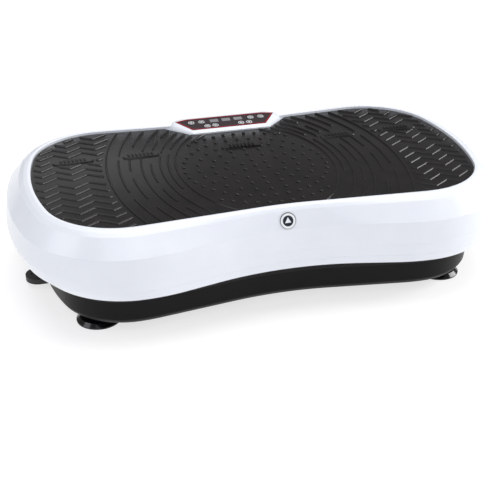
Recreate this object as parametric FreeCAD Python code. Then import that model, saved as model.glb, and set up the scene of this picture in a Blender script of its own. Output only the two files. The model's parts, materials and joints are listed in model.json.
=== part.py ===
import FreeCAD, Part
import math
import os

# Oscillating vibration plate. Millimetres, +Z up, +X along the length, -Y is the front.
# The origin is on the floor under the middle of the machine.

V = FreeCAD.Vector
OUT = "parts"

# ---------------------------------------------------------------- driving dimensions
# Plan outline of the standing mat: a waisted oval of tangent arcs, the same in all four quarters.
HALF_LENGTH = 330.0
HALF_WIDTH = 173.5
HALF_WAIST = 160.5
R_WAIST, R_LOBE, R_CORNER, R_END = 527.0, 231.0, 106.0, 390.0
WAIST_SHARPEN = 3.0

# Wall profiles, bottom to top: distance outside the mat outline, height, and how much wider still the
# section is at its four lobes and at its waist.
SHELL_OUTER = [(20.0, 76.0, 22.0, 5.0), (35.0, 87.0, 6.5, -11.0), (41.0, 103.0, -1.0, -18.5),
               (39.5, 119.0, 0.0, -17.5), (37.0, 135.3, 0.5, -16.8), (17.5, 159.3, 0.0, -7.0),
               (11.0, 163.6, 0.0, -4.0), (6.0, 165.3, 0.0, -2.0)]
SHELL_INNER = [(16.8, 74.0, 22.0, 5.0), (32.0, 87.3, 6.5, -11.0), (38.0, 103.0, -1.0, -18.5),
               (36.5, 118.0, 0.0, -17.5), (34.0, 133.6, 0.5, -16.8), (14.5, 155.5, 0.0, -7.0)]
TRAY_OUTER = [(-11.0, 18.0, 12.0, 2.0), (-7.0, 20.5, 12.5, 2.5), (-4.5, 26.0, 12.7, 2.8),
              (-2.5, 56.0, 14.0, 3.0), (6.0, 78.0, 21.0, 5.0), (7.5, 92.0, 22.0, 5.0)]
TRAY_INNER = [(-12.5, 21.0, 12.0, 2.0), (-7.5, 27.0, 12.7, 2.8), (-5.5, 57.0, 14.0, 3.0),
              (3.0, 79.5, 21.0, 5.0), (4.2, 94.0, 22.0, 5.0)]

FLOOR_TOP = 21.0                        # upper face of the tray's floor
WEB_BOTTOM, WEB_TOP = 155.5, 158.5      # the shell's flat top under the mat
MAT_TOP = 163.0
MAT_GAP = 0.4
NOTCH_FRONT, NOTCH_BACK = 127.5, 177.0  # the mat's cut-out round the console
NOTCH_HALF_FRONT, NOTCH_HALF_BACK = 64.0, 112.0
NOTCH_RADIUS = 13.0

# Steel frame of the base
BASE_RAIL_Y, BASE_RAIL_WIDTH, BASE_RAIL_HALF = 123.0, 30.0, 280.0
BASE_RAIL_TOP = FLOOR_TOP + 20.0
BASE_CROSSBAR_X = 235.0
TUBE_WALL = 2.0

# Steel frame of the deck
PLATE_BOTTOM = 149.5
DECK_RAIL_BOTTOM = 129.5
DECK_RAIL_Y, DECK_RAIL_WIDTH, DECK_RAIL_HALF = 98.0, 24.0, 250.0
DECK_CROSSBAR_X = [-205.0, 107.0, 205.0]
DECK_CROSSBAR_WIDTH = 30.0

# Rocking pivot, along Y at x = 0
PIVOT_Z = 66.0
PIN_R = 8.0
BUSH_R = 11.0
EAR_Y0, EAR_Y1 = 96.0, 106.0
PEDESTAL_Y0, PEDESTAL_Y1 = 110.0, 134.0
PIVOT_BOSS_R = 18.0

# Drive
MOTOR_X, MOTOR_Z, MOTOR_R = -100.0, 68.0, 44.0
MOTOR_Y0, MOTOR_Y1 = -60.0, 20.0
BELL = 10.0
MOTOR_SHAFT_R = 6.0
CRANK_X, CRANK_Z = 107.0, 66.0
CRANK_SHAFT_R = 8.0
CRANK_THROW = 3.0
ECCENTRIC_R = 18.0
ROD_RING_IN, ROD_RING_OUT = 26.0, 33.0
ROD_HALF_WIDTH = 8.0
ROD_PIN_Z, ROD_PIN_R = 116.0, 6.0
BLOCK_Y0, BLOCK_Y1 = 24.0, 40.0
BEARING_R = 16.0
MOTOR_PULLEY_R, CRANK_PULLEY_R = 18.0, 36.0
PULLEY_Y0, PULLEY_Y1, FLANGE = 57.0, 75.0, 1.5
BELT_THICK, BELT_GAP = 4.0, 0.35

# Running and sliding clearances
RUN = 0.05
SLIP = 0.02

# Feet and the eyelets for the exercise bands
FOOT_X, FOOT_Y, FOOT_R = 262.0, 121.0, 32.0
FOOT_TOP = 18.0
EYELET_X, EYELET_R = 333.0, 20.0
EYELET_Z0, EYELET_Z1 = 10.0, 18.0
EYELET_HOLE_X, EYELET_HOLE_R = 338.0, 7.0

# Control panel: a tilted hexagon behind the mat
PANEL_Y, PANEL_Z, PANEL_TILT = 136.0, 166.5, 6.67
PANEL_HEX = [(-61.0, 0.0), (61.0, 0.0), (83.0, 32.6), (64.0, 37.4), (-64.0, 37.4), (-83.0, 32.6)]
PANEL_MARGIN = 5.0
BEZEL_LINE = 2.0
PANEL_LEDGE = 6.0
FACE_THICK, FACE_PROUD, BEZEL_PROUD = 2.0, 0.2, 0.4
BUTTON_R, BUTTON_GAP, BUTTON_TRAVEL = 5.2, 0.35, 0.6
BUTTONS = {
    "button_power": (-58.5, 23.5), "button_mode": (-41.5, 23.5),
    "button_time_down": (-35.0, 8.5), "button_time_up": (-21.5, 8.5),
    "button_speed_down": (21.5, 8.5), "button_speed_up": (35.0, 8.5),
    "button_program": (41.5, 23.5), "button_start": (58.5, 23.5),
}
WINDOW_U, WINDOW_W, WINDOW_V0, WINDOW_V1 = [-20.0, 0.0, 20.0], 14.0, 20.5, 30.0

# Power entry on the back of the base
ENTRY_X0, ENTRY_X1, ENTRY_Z0, ENTRY_Z1 = 162.0, 248.0, 27.0, 55.0
ENTRY_Y0, ENTRY_Y1 = 174.0, 185.5
ENTRY_MID_Z = 41.0
INLET_X0, INLET_X1, INLET_Z0, INLET_Z1, INLET_WALL = 168.0, 198.0, 30.0, 52.0, 3.0
SWITCH_X, SWITCH_Y, SWITCH_TILT = 213.0, 180.0, 7.0
FUSE_X, FUSE_R = 234.5, 6.5

# Badge on the front of the sloping band
BADGE_R, BADGE_SINK, BADGE_PROUD, BADGE_SHARE = 11.5, 0.8, 0.9, 0.47


# ---------------------------------------------------------------- helpers
def box(x0, x1, y0, y1, z0, z1):
    """A block between two x, two y and two z values, given in either order."""
    low = V(min(x0, x1), min(y0, y1), min(z0, z1))
    return Part.makeBox(abs(x1 - x0), abs(y1 - y0), abs(z1 - z0), low)


def rod_y(x, z, radius, y0, y1):
    """A round bar along Y."""
    return Part.makeCylinder(radius, abs(y1 - y0), V(x, min(y0, y1), z), V(0, 1, 0))


def rod_z(x, y, radius, z0, z1):
    """A round bar along Z."""
    return Part.makeCylinder(radius, z1 - z0, V(x, y, z0), V(0, 0, 1))


def prism(points, axis, start, length):
    """A flat polygon pushed along Y or Z. Points are (x, z) for Y and (x, y) for Z."""
    if axis == "y":
        corners = [V(a, start, b) for a, b in points]
        push = V(0, length, 0)
    else:
        corners = [V(a, b, start) for a, b in points]
        push = V(0, 0, length)
    return Part.Face(Part.makePolygon(corners + corners[:1])).extrude(push)


def fuse(shapes):
    """One solid out of several that touch."""
    whole = shapes[0]
    for shape in shapes[1:]:
        whole = whole.fuse(shape)
    return whole.removeSplitter()


def cut(shape, tools):
    """A shape with every tool taken away."""
    for tool in tools:
        shape = shape.cut(tool)
    return shape


def four(x, y):
    """The four mirrored places of one point."""
    return [(sx * x, sy * y) for sx in (-1, 1) for sy in (-1, 1)]


def save(name, shapes):
    """Write one node, as one solid or as a group of separate solids."""
    shape = Part.makeCompound(shapes) if isinstance(shapes, list) else shapes
    shape.exportStep(os.path.join(OUT, name + ".step"))


# ---------------------------------------------------------------- the waisted outline
def outline(offset, z, lobes=0.0, waists=0.0):
    """The mat outline moved outwards by offset at height z, as a closed wire of arcs and lines.

    lobes and waists widen it further there, without a change of length, and the waist bends harder.
    """
    half_width, half_waist = HALF_WIDTH + lobes, HALF_WAIST + waists
    waist_bend = R_WAIST - WAIST_SHARPEN * (lobes - waists)
    waist = (0.0, half_waist + waist_bend)
    end = (HALF_LENGTH - R_END, 0.0)
    lobe_x = end[0] + math.sqrt((R_END - R_CORNER) ** 2 - (half_width - R_CORNER) ** 2)
    lobe = (lobe_x, half_width - R_LOBE)
    corner = (lobe_x, half_width - R_CORNER)
    span = math.hypot(lobe[0] - waist[0], lobe[1] - waist[1])
    heading = math.atan2(lobe[1] - waist[1], lobe[0] - waist[0]) + math.asin((waist_bend + R_LOBE) / span)
    phi = math.atan2(corner[1] - end[1], corner[0] - end[0])
    r_waist, r_lobe, r_corner = waist_bend - offset, R_LOBE + offset, R_CORNER + offset

    def at(centre, radius, angle):
        return centre[0] + radius * math.cos(angle), centre[1] + radius * math.sin(angle)

    up = math.pi / 2
    waist_end = at(waist, r_waist, heading - up)
    lobe_start = at(lobe, r_lobe, heading + up)
    lobe_mid = at(lobe, r_lobe, heading / 2 + up)
    lobe_end = at(corner, r_corner, up)
    corner_mid = at(corner, r_corner, (up + phi) / 2)
    corner_end = at(corner, r_corner, phi)
    tip = (HALF_LENGTH + offset, 0.0)
    waist_mid = (0.0, half_waist + offset)

    def p(point, sx=1, sy=1):
        return V(sx * point[0], sy * point[1], z)

    def arc(a, b, c):
        return Part.Arc(a, b, c).toShape()

    edges = []
    for sx, sy in ((1, 1), (-1, 1), (-1, -1), (1, -1)):
        quarter = [arc(p(corner_end, sx, sy), p(corner_mid, sx, sy), p(lobe_end, sx, sy)),
                   arc(p(lobe_end, sx, sy), p(lobe_mid, sx, sy), p(lobe_start, sx, sy)),
                   Part.LineSegment(p(lobe_start, sx, sy), p(waist_end, sx, sy)).toShape()]
        forward = sx * sy > 0
        edges += quarter if forward else quarter[::-1]
        if forward:
            edges.append(arc(p(waist_end, sx, sy), p(waist_mid, sx, sy), p(waist_end, -sx, sy)))
        else:
            edges.append(arc(p(corner_end, sx, sy), p(tip, sx, sy), p(corner_end, sx, -sy)))
    return Part.Wire(Part.__sortEdges__(edges))


def slab(offset, z0, z1):
    """A flat plate of the outline."""
    return Part.Face(outline(offset, z0)).extrude(V(0, 0, z1 - z0))


def skin(profile):
    """A solid lofted through the outlines of a wall profile."""
    return Part.makeLoft([outline(*section) for section in profile], True, True)


# ---------------------------------------------------------------- the tilted panel
def inset(points, distance):
    """A convex polygon, listed anticlockwise, moved inwards on every side."""
    moved = []
    for i, (px, py) in enumerate(points):
        ax, ay = points[i - 1]
        bx, by = points[(i + 1) % len(points)]
        d1 = math.hypot(px - ax, py - ay)
        d2 = math.hypot(bx - px, by - py)
        n1 = (-(py - ay) / d1, (px - ax) / d1)
        n2 = (-(by - py) / d2, (bx - px) / d2)
        scale = distance / (1.0 + n1[0] * n2[0] + n1[1] * n2[1])
        moved.append((px + (n1[0] + n2[0]) * scale, py + (n1[1] + n2[1]) * scale))
    return moved


def on_panel(shape):
    """Carry a shape from the panel's own frame, n up from its face, to its place on the machine."""
    shape.rotate(V(0, 0, 0), V(1, 0, 0), PANEL_TILT)
    shape.translate(V(0, PANEL_Y, PANEL_Z))
    return shape


# ---------------------------------------------------------------- deck
def badge_disc(grow, proud):
    """The round badge on the sloping front band, or a slightly larger one to sink its seat."""
    (low_off, low_z, _, low_waist), (high_off, high_z, _, high_waist) = SHELL_OUTER[4], SHELL_OUTER[5]
    low, high = low_off + low_waist, high_off + high_waist
    offset = low + (high - low) * BADGE_SHARE
    height = low_z + (high_z - low_z) * BADGE_SHARE
    run = math.hypot(high - low, high_z - low_z)
    normal = V(0, -(high_z - low_z) / run, (low - high) / run)
    centre = V(0, -(HALF_WAIST + offset), height)
    return Part.makeCylinder(BADGE_R + grow, BADGE_SINK + proud, centre - normal * BADGE_SINK, normal)


def notch():
    """The console's footprint, taken out of the mat and its recess."""
    wedge = prism([(-NOTCH_HALF_FRONT, NOTCH_FRONT), (NOTCH_HALF_FRONT, NOTCH_FRONT),
                   (NOTCH_HALF_BACK, NOTCH_BACK), (-NOTCH_HALF_BACK, NOTCH_BACK)], "z", 150.0, 30.0)
    front = [e for e in wedge.Edges
             if abs(e.BoundBox.ZLength - 30.0) < 0.01 and e.BoundBox.YMin < NOTCH_FRONT + 0.01]
    return wedge.makeFillet(NOTCH_RADIUS, front)


DECK_SCREWS = four(285.0, 60.0) + four(195.0, 140.0) + four(85.0, 128.0) + [(0.0, -125.0), (0.0, 118.0)]


def deck_shell():
    """The moulded top cover with its console, open underneath."""
    body = skin(SHELL_OUTER).cut(skin(SHELL_INNER))
    console = prism([(x, PANEL_Y + y) for x, y in inset(PANEL_HEX, -PANEL_MARGIN)], "z", WEB_BOTTOM, 30.0)
    console = console.cut(on_panel(box(-200, 200, -100, 200, 0, 60)))
    body = body.fuse(console)
    recess = slab(0.0, WEB_TOP, MAT_TOP + 20.0).cut(notch())
    pocket = on_panel(prism(inset(PANEL_HEX, PANEL_LEDGE), "z", -14.0, 20.0))
    seat = on_panel(prism(PANEL_HEX, "z", -FACE_THICK, 20.0))
    hollow = box(-56, 56, PANEL_Y + 7, PANEL_Y + 36, 142, 158)
    body = cut(body, [recess, pocket, seat, hollow, badge_disc(0.1, 10.0)])
    for x, y in DECK_SCREWS:
        body = cut(body, [rod_z(x, y, 2.2, 150.0, WEB_TOP + 1), rod_z(x, y, 4.3, 156.6, WEB_TOP + 1)])
    return body.removeSplitter()


def deck_mat():
    """The rubber standing mat, in the recess of the shell."""
    console = notch()
    console.translate(V(0, -MAT_GAP, 0))
    return slab(-MAT_GAP, WEB_TOP, MAT_TOP).cut(console)


def deck_plate():
    """The plywood sheet that carries the shell."""
    plate = slab(-8.0, PLATE_BOTTOM, WEB_BOTTOM)
    return cut(plate, [rod_z(x, y, 2.0, 140.0, 160.0) for x, y in DECK_SCREWS])


def deck_screw(x, y):
    """A countersunk screw through the shell's web into the deck plate."""
    return fuse([rod_z(x, y, 4.0, 156.6, 158.3), rod_z(x, y, 1.95, PLATE_BOTTOM + 0.5, 156.6)])


def rail(half, y, width, z0, z1):
    """A rectangular steel tube along X."""
    y0, y1 = y - width / 2, y + width / 2
    bore = box(-half - 1, half + 1, y0 + TUBE_WALL, y1 - TUBE_WALL, z0 + TUBE_WALL, z1 - TUBE_WALL)
    return box(-half, half, y0, y1, z0, z1).cut(bore)


def crossbar(x, width, half_y, z0, z1):
    """A rectangular steel tube along Y."""
    x0, x1 = x - width / 2, x + width / 2
    bore = box(x0 + TUBE_WALL, x1 - TUBE_WALL, -half_y - 1, half_y + 1, z0 + TUBE_WALL, z1 - TUBE_WALL)
    return box(x0, x1, -half_y, half_y, z0, z1).cut(bore)


def pivot_ear(side):
    """A plate welded under a deck rail, with the bush's bore at its rounded foot."""
    y0 = EAR_Y0 if side > 0 else -EAR_Y1
    thick = EAR_Y1 - EAR_Y0
    web = prism([(-32, DECK_RAIL_BOTTOM), (32, DECK_RAIL_BOTTOM), (PIVOT_BOSS_R, PIVOT_Z),
                 (-PIVOT_BOSS_R, PIVOT_Z)], "y", y0, thick)
    boss = rod_y(0, PIVOT_Z, PIVOT_BOSS_R, y0, y0 + thick)
    return fuse([web, boss]).cut(rod_y(0, PIVOT_Z, BUSH_R + SLIP, y0 - 1, y0 + thick + 1))


def pivot_bush(side):
    """The bronze bush that turns on the fixed pin."""
    y0, y1 = side * (EAR_Y0 - 1), side * (EAR_Y1 + 1)
    bore = rod_y(0, PIVOT_Z, PIN_R + RUN, y0 - side, y1 + side)
    return rod_y(0, PIVOT_Z, BUSH_R, y0, y1).cut(bore)


def rod_clevis():
    """Two cheeks under the driven crossbar, for the connecting rod's upper pin."""
    cheeks = []
    for side in (-1, 1):
        y0 = 9.0 if side > 0 else -15.0
        cheek = fuse([box(CRANK_X - 12, CRANK_X + 12, y0, y0 + 6, ROD_PIN_Z, DECK_RAIL_BOTTOM),
                      rod_y(CRANK_X, ROD_PIN_Z, 12, y0, y0 + 6)])
        cheeks.append(cheek.cut(rod_y(CRANK_X, ROD_PIN_Z, ROD_PIN_R + SLIP, y0 - 1, y0 + 7)))
    return cheeks


# ---------------------------------------------------------------- base
def base_tray():
    """The black lower pan with its flared rim."""
    tray = skin(TRAY_OUTER).cut(skin(TRAY_INNER))
    tools = [rod_z(x, y, 4.2, 10, 30) for x, y in four(FOOT_X, FOOT_Y)]
    tools += [rod_z(x, y, 2.3, 10, 30) for x, y in EYELET_SCREWS]
    tools += [rod_z(x, y, 3.1, 19, 30) for x, y in FLOOR_BOLTS]
    tools.append(box(ENTRY_X0, ENTRY_X1, ENTRY_Y0 - 12, ENTRY_Y1 + 10, ENTRY_Z0, ENTRY_Z1))
    return cut(tray, tools)


EYELET_SCREWS = four(297.0, 12.0)
BLOCK_BOLTS = [(CRANK_X + dx, sy * (BLOCK_Y0 + BLOCK_Y1) / 2) for dx in (-30, 30) for sy in (-1, 1)]
CRADLE_BOLTS = [(MOTOR_X + dx, y) for dx in (-44, 44) for y in (-46, 6)]
FLOOR_BOLTS = BLOCK_BOLTS + CRADLE_BOLTS
PEDESTAL_BOLTS = four(28.0, (PEDESTAL_Y0 + PEDESTAL_Y1) / 2)


def frame_bolt(x, y, seat):
    """A hexagon-headed bolt that clamps a foot 8 mm thick."""
    head = prism([(x + 5.8 * math.cos(math.radians(a)), y + 5.8 * math.sin(math.radians(a)))
                  for a in range(0, 360, 60)], "z", seat, 4.0)
    return fuse([head, rod_z(x, y, 3.0, seat - 9.8, seat)])


def base_rail(side):
    """A long base tube, drilled for the feet and the pivot pedestal."""
    tube = rail(BASE_RAIL_HALF, side * BASE_RAIL_Y, BASE_RAIL_WIDTH, FLOOR_TOP, BASE_RAIL_TOP)
    holes = [rod_z(x, side * FOOT_Y, 4.2, 10, 60) for x in (-FOOT_X, FOOT_X)]
    holes += [rod_z(x, y, 3.1, 30, 60) for x, y in PEDESTAL_BOLTS if y * side > 0]
    return cut(tube, holes)


def pivot_pedestal(side):
    """The upright that holds a pivot pin."""
    y0 = PEDESTAL_Y0 if side > 0 else -PEDESTAL_Y1
    width = PEDESTAL_Y1 - PEDESTAL_Y0
    upright = box(-PIVOT_BOSS_R, PIVOT_BOSS_R, y0, y0 + width, BASE_RAIL_TOP, PIVOT_Z)
    foot = box(-38, 38, y0, y0 + width, BASE_RAIL_TOP, BASE_RAIL_TOP + 8)
    body = fuse([upright, foot, rod_y(0, PIVOT_Z, PIVOT_BOSS_R, y0, y0 + width)])
    holes = [rod_y(0, PIVOT_Z, PIN_R + SLIP, y0 - 1, y0 + width + 1)]
    holes += [rod_z(x, y, 3.1, 30, 60) for x, y in PEDESTAL_BOLTS if y * side > 0]
    return cut(body, holes)


def motor_cradle():
    """The cast saddle under the motor."""
    block = box(MOTOR_X - 34, MOTOR_X + 34, -52, 12, FLOOR_TOP, MOTOR_Z - 12)
    foot = box(MOTOR_X - 52, MOTOR_X + 52, -52, 12, FLOOR_TOP, FLOOR_TOP + 8)
    body = fuse([block, foot])
    holes = [rod_y(MOTOR_X, MOTOR_Z, MOTOR_R + SLIP, -60, 20)]
    holes += [rod_z(x, y, 3.1, 10, 60) for x, y in CRADLE_BOLTS]
    return cut(body, holes)


def motor_can():
    """The drawn steel tube round the motor."""
    inner = rod_y(MOTOR_X, MOTOR_Z, MOTOR_R - 3, MOTOR_Y0 - 1, MOTOR_Y1 + 1)
    return rod_y(MOTOR_X, MOTOR_Z, MOTOR_R, MOTOR_Y0, MOTOR_Y1).cut(inner)


def motor_end_bell(y0):
    """An end cap with a bearing bore for the motor shaft."""
    hub_y = y0 - 4 if y0 < 0 else y0 + BELL
    body = fuse([rod_y(MOTOR_X, MOTOR_Z, MOTOR_R, y0, y0 + BELL), rod_y(MOTOR_X, MOTOR_Z, 14, hub_y, hub_y + 4)])
    return body.cut(rod_y(MOTOR_X, MOTOR_Z, MOTOR_SHAFT_R + RUN, y0 - 10, y0 + BELL + 10))


def crank_block(side):
    """A pillow block for the crank shaft."""
    y0 = BLOCK_Y0 if side > 0 else -BLOCK_Y1
    width = BLOCK_Y1 - BLOCK_Y0
    body = fuse([box(CRANK_X - 20, CRANK_X + 20, y0, y0 + width, FLOOR_TOP, CRANK_Z),
                 box(CRANK_X - 38, CRANK_X + 38, y0, y0 + width, FLOOR_TOP, FLOOR_TOP + 8),
                 rod_y(CRANK_X, CRANK_Z, 20, y0, y0 + width)])
    holes = [rod_y(CRANK_X, CRANK_Z, BEARING_R + SLIP, y0 - 1, y0 + width + 1)]
    holes += [rod_z(x, y, 3.1, 10, 60) for x, y in BLOCK_BOLTS if y * side > 0]
    return cut(body, holes)


def crank_bearing(side):
    """A ball bearing, drawn as one ring, in a pillow block."""
    y0 = BLOCK_Y0 + 2 if side > 0 else -BLOCK_Y1 + 2
    ring = rod_y(CRANK_X, CRANK_Z, BEARING_R, y0, y0 + 12)
    return ring.cut(rod_y(CRANK_X, CRANK_Z, CRANK_SHAFT_R + RUN, y0 - 1, y0 + 13))


def pulley(x, z, radius, shaft_r):
    """A flanged flat-belt pulley on a shaft."""
    rim = rod_y(x, z, radius, PULLEY_Y0, PULLEY_Y1)
    flanges = [rod_y(x, z, radius + 5, PULLEY_Y0, PULLEY_Y0 + FLANGE),
               rod_y(x, z, radius + 5, PULLEY_Y1 - FLANGE, PULLEY_Y1)]
    return fuse([rim] + flanges).cut(rod_y(x, z, shaft_r + SLIP, PULLEY_Y0 - 1, PULLEY_Y1 + 1))


def belt_loop(grow, y):
    """The closed path round both pulleys, grown outwards."""
    r1, r2 = MOTOR_PULLEY_R + grow, CRANK_PULLEY_R + grow
    dx, dz = CRANK_X - MOTOR_X, CRANK_Z - MOTOR_Z
    along = math.atan2(dz, dx)
    lean = math.acos((r1 - r2) / math.hypot(dx, dz))

    def at(x, z, r, angle):
        return V(x + r * math.cos(angle), y, z + r * math.sin(angle))

    a = at(MOTOR_X, MOTOR_Z, r1, along + lean)
    b = at(CRANK_X, CRANK_Z, r2, along + lean)
    c = at(CRANK_X, CRANK_Z, r2, along - lean)
    d = at(MOTOR_X, MOTOR_Z, r1, along - lean)
    near = at(MOTOR_X, MOTOR_Z, r1, along + math.pi)
    far = at(CRANK_X, CRANK_Z, r2, along)
    edges = [Part.LineSegment(a, b).toShape(), Part.Arc(b, far, c).toShape(),
             Part.LineSegment(c, d).toShape(), Part.Arc(d, near, a).toShape()]
    return Part.Wire(edges)


def drive_belt():
    """The belt between the motor and the crank."""
    y0, y1 = PULLEY_Y0 + FLANGE + 0.5, PULLEY_Y1 - FLANGE - 0.5
    outer = Part.Face(belt_loop(BELT_GAP + BELT_THICK, y0)).extrude(V(0, y1 - y0, 0))
    inner = Part.Face(belt_loop(BELT_GAP, y0)).extrude(V(0, y1 - y0, 0))
    return outer.cut(inner)


def suction_foot(x, y):
    """A rubber suction cup: a thin flared lip, a shallow hollow and a thick neck."""
    profile = [(4.1, 3.4), (22, 2.4), (FOOT_R - 2.6, 0), (FOOT_R, 0), (FOOT_R, 1.8), (27, 6.6), (18, 10.4),
               (15, 12.4), (15, FOOT_TOP), (4.1, FOOT_TOP)]
    corners = [V(x + r, y, z) for r, z in profile]
    face = Part.Face(Part.makePolygon(corners + corners[:1]))
    cup = face.revolve(V(x, y, 0), V(0, 0, 1), 360)
    return cup.fuse(rod_z(x, y, 4.1, 3.4, 8.0)).removeSplitter()


def foot_bolt(x, y):
    """The bolt that holds a foot under the tray and the base rail."""
    head = prism([(x + 7.5 * math.cos(math.radians(a)), y + 7.5 * math.sin(math.radians(a)))
                  for a in range(0, 360, 60)], "z", BASE_RAIL_TOP, 5.3)
    return fuse([head, rod_z(x, y, 4.0, 8.2, BASE_RAIL_TOP)])


def band_eyelet(side):
    """A flat tongue under each end with a hole for a band's hook."""
    tongue = fuse([box(side * 286, side * EYELET_X, -EYELET_R, EYELET_R, EYELET_Z0, EYELET_Z1),
                   rod_z(side * EYELET_X, 0, EYELET_R, EYELET_Z0, EYELET_Z1)])
    holes = [rod_z(side * EYELET_HOLE_X, 0, EYELET_HOLE_R, 0, 30)]
    for x, y in EYELET_SCREWS:
        if x * side > 0:
            holes += [rod_z(x, y, 2.3, 0, 30), rod_z(x, y, 4.3, 0, EYELET_Z0 + 2.6)]
    return cut(tongue, holes)


def eyelet_screw(x, y):
    """A screw up through an eyelet into the tray's floor."""
    return fuse([rod_z(x, y, 4.1, EYELET_Z0, EYELET_Z0 + 2.5), rod_z(x, y, 2.2, EYELET_Z0 + 2.5, 25)])


def inlet_plate():
    """The recessed plate that carries the mains inlet, the switch and the fuse."""
    face_y = ENTRY_Y1 - 3
    plate = box(ENTRY_X0, ENTRY_X1, ENTRY_Y0, ENTRY_Y1, ENTRY_Z0, ENTRY_Z1)
    return cut(plate, [
        box(ENTRY_X0 + 3, ENTRY_X1 - 3, ENTRY_Y0 - 1, face_y, ENTRY_Z0 + 3, ENTRY_Z1 - 3),
        box(INLET_X0, INLET_X1, ENTRY_Y0 - 1, ENTRY_Y1 + 1, INLET_Z0, INLET_Z1),
        box(SWITCH_X - 7, SWITCH_X + 7, ENTRY_Y0 - 1, ENTRY_Y1 + 1, ENTRY_MID_Z - 9.5, ENTRY_MID_Z + 9.5),
        rod_y(FUSE_X, ENTRY_MID_Z, FUSE_R + SLIP, ENTRY_Y0 - 1, ENTRY_Y1 + 1),
    ])


def power_inlet():
    """A three-blade mains inlet with an open socket."""
    body = box(INLET_X0, INLET_X1, ENTRY_Y0 - 11, ENTRY_Y1 + 0.8, INLET_Z0, INLET_Z1)
    socket_y = ENTRY_Y0 - 5
    body = body.cut(box(INLET_X0 + INLET_WALL, INLET_X1 - INLET_WALL, socket_y, ENTRY_Y1 + 2,
                        INLET_Z0 + INLET_WALL, INLET_Z1 - INLET_WALL))
    middle = (INLET_X0 + INLET_X1) / 2
    blades = [box(middle + dx - 0.8, middle + dx + 0.8, socket_y - 1, socket_y + 9,
                  ENTRY_MID_Z + dz - 2, ENTRY_MID_Z + dz + 2) for dx, dz in ((-6.5, -2), (0, 2), (6.5, -2))]
    return fuse([body] + blades)


def power_switch():
    """The rocker of the mains switch, resting with its lower half pressed in."""
    half_x, half_z, y = 6.2, 8.3, SWITCH_Y
    side = [(y - 2.5, -half_z), (y + 5.8, -half_z), (y + 4.6, 0.0), (y + 5.8, half_z), (y - 2.5, half_z)]
    corners = [V(SWITCH_X - half_x, a, ENTRY_MID_Z + b) for a, b in side]
    rocker = Part.Face(Part.makePolygon(corners + corners[:1])).extrude(V(2 * half_x, 0, 0))
    rocker.rotate(V(SWITCH_X, y, ENTRY_MID_Z), V(1, 0, 0), -SWITCH_TILT)
    return rocker


def fuse_cap():
    """The screw cap of the fuse holder, with a slot across it."""
    cap = rod_y(FUSE_X, ENTRY_MID_Z, FUSE_R, ENTRY_Y0 - 10, ENTRY_Y1 + 2.5)
    return cap.cut(box(FUSE_X - 5, FUSE_X + 5, ENTRY_Y1 + 1.2, ENTRY_Y1 + 5, ENTRY_MID_Z - 0.8, ENTRY_MID_Z + 0.8))


def control_board():
    """The motor driver board on its stand-offs, with its heat sink and capacitors."""
    parts = [box(-214, -160, -45, 45, 30, 31.6)]
    parts += [rod_z(x, y, 3, FLOOR_TOP, 30) for x in (-209, -165) for y in (-40, 40)]
    parts += [rod_z(-200, y, 8, 31.6, 56) for y in (-28, -8)]
    parts.append(box(-182, -166, -34, 10, 31.6, 36))
    parts += [box(-182, -166, y, y + 2.5, 36, 58) for y in range(-34, 10, 6)]
    parts.append(box(-205, -180, 18, 36, 31.6, 47))
    return fuse(parts)


def power_supply():
    """The mains supply in its folded steel case, with vents cut in its lid."""
    case = box(158, 212, -50, 50, FLOOR_TOP, 60)
    vents = [box(166, 204, y, y + 3, 58, 62) for y in range(-40, 40, 8)]
    return cut(case, vents + [box(160, 210, -48, 48, FLOOR_TOP + 2, 57)])


# ---------------------------------------------------------------- write every node
def write_deck():
    """The rocking half: cover, mat, panel and the steel under them."""
    save("deck_shell", deck_shell())
    save("deck_mat", deck_mat())
    save("deck_plate", deck_plate())
    save("deck_screws", [deck_screw(x, y) for x, y in DECK_SCREWS])
    for name, side in (("front", -1), ("rear", 1)):
        save("deck_rail_" + name, rail(DECK_RAIL_HALF, side * DECK_RAIL_Y, DECK_RAIL_WIDTH,
                                       DECK_RAIL_BOTTOM, PLATE_BOTTOM))
    save("deck_crossbars", [crossbar(x, DECK_CROSSBAR_WIDTH, DECK_RAIL_Y - DECK_RAIL_WIDTH / 2,
                                     DECK_RAIL_BOTTOM, PLATE_BOTTOM) for x in DECK_CROSSBAR_X])
    save("pivot_ears", [pivot_ear(-1), pivot_ear(1)])
    save("pivot_bushes", [pivot_bush(-1), pivot_bush(1)])
    save("rod_clevis", rod_clevis())
    save("rod_pin", rod_y(CRANK_X, ROD_PIN_Z, ROD_PIN_R, -17, 17))
    save("badge", badge_disc(0.0, BADGE_PROUD))


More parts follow.
